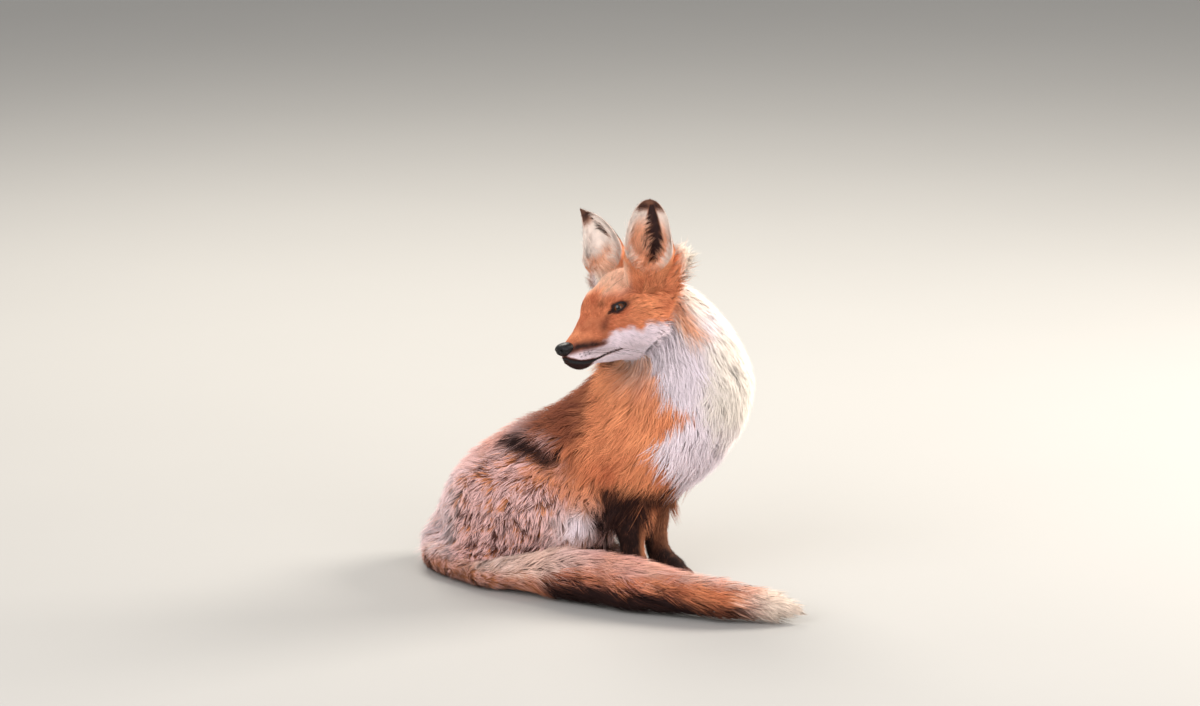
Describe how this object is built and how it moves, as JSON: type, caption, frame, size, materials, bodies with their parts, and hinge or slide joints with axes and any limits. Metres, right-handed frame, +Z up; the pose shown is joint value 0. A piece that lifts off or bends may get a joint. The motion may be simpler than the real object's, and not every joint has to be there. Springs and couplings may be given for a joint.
{
  "type": "red fox",
  "caption": "Life-size red fox sitting on the ground, head turned back over its right shoulder, upright ears, and a full brush laid forward along its right side.",
  "frame": {"origin": "centre of the bottom of the bounding box, on the ground", "axes": "+X the way the chest faces, +Y the fox's left, +Z up"},
  "size_m": [0.5476, 0.2738, 0.4884],
  "materials": {
    "body_coat": "fur",
    "pale_coat": "fur",
    "dark_coat": "fur",
    "nose_leather": "moist",
    "eye": "wet gloss"
  },
  "bodies": {
    "root": {"trunk": "body_coat", "neck": "body_coat", "head": "body_coat", "hindleg_left": "body_coat", "hindleg_right": "body_coat", "tail": "body_coat", "tail_tip": "pale_coat", "foreleg_left": "dark_coat", "foreleg_right": "dark_coat", "ear_left": "dark_coat", "ear_right": "dark_coat", "nose": "nose_leather", "eye_left": "eye", "eye_right": "eye"}
  },
  "joints": []
}
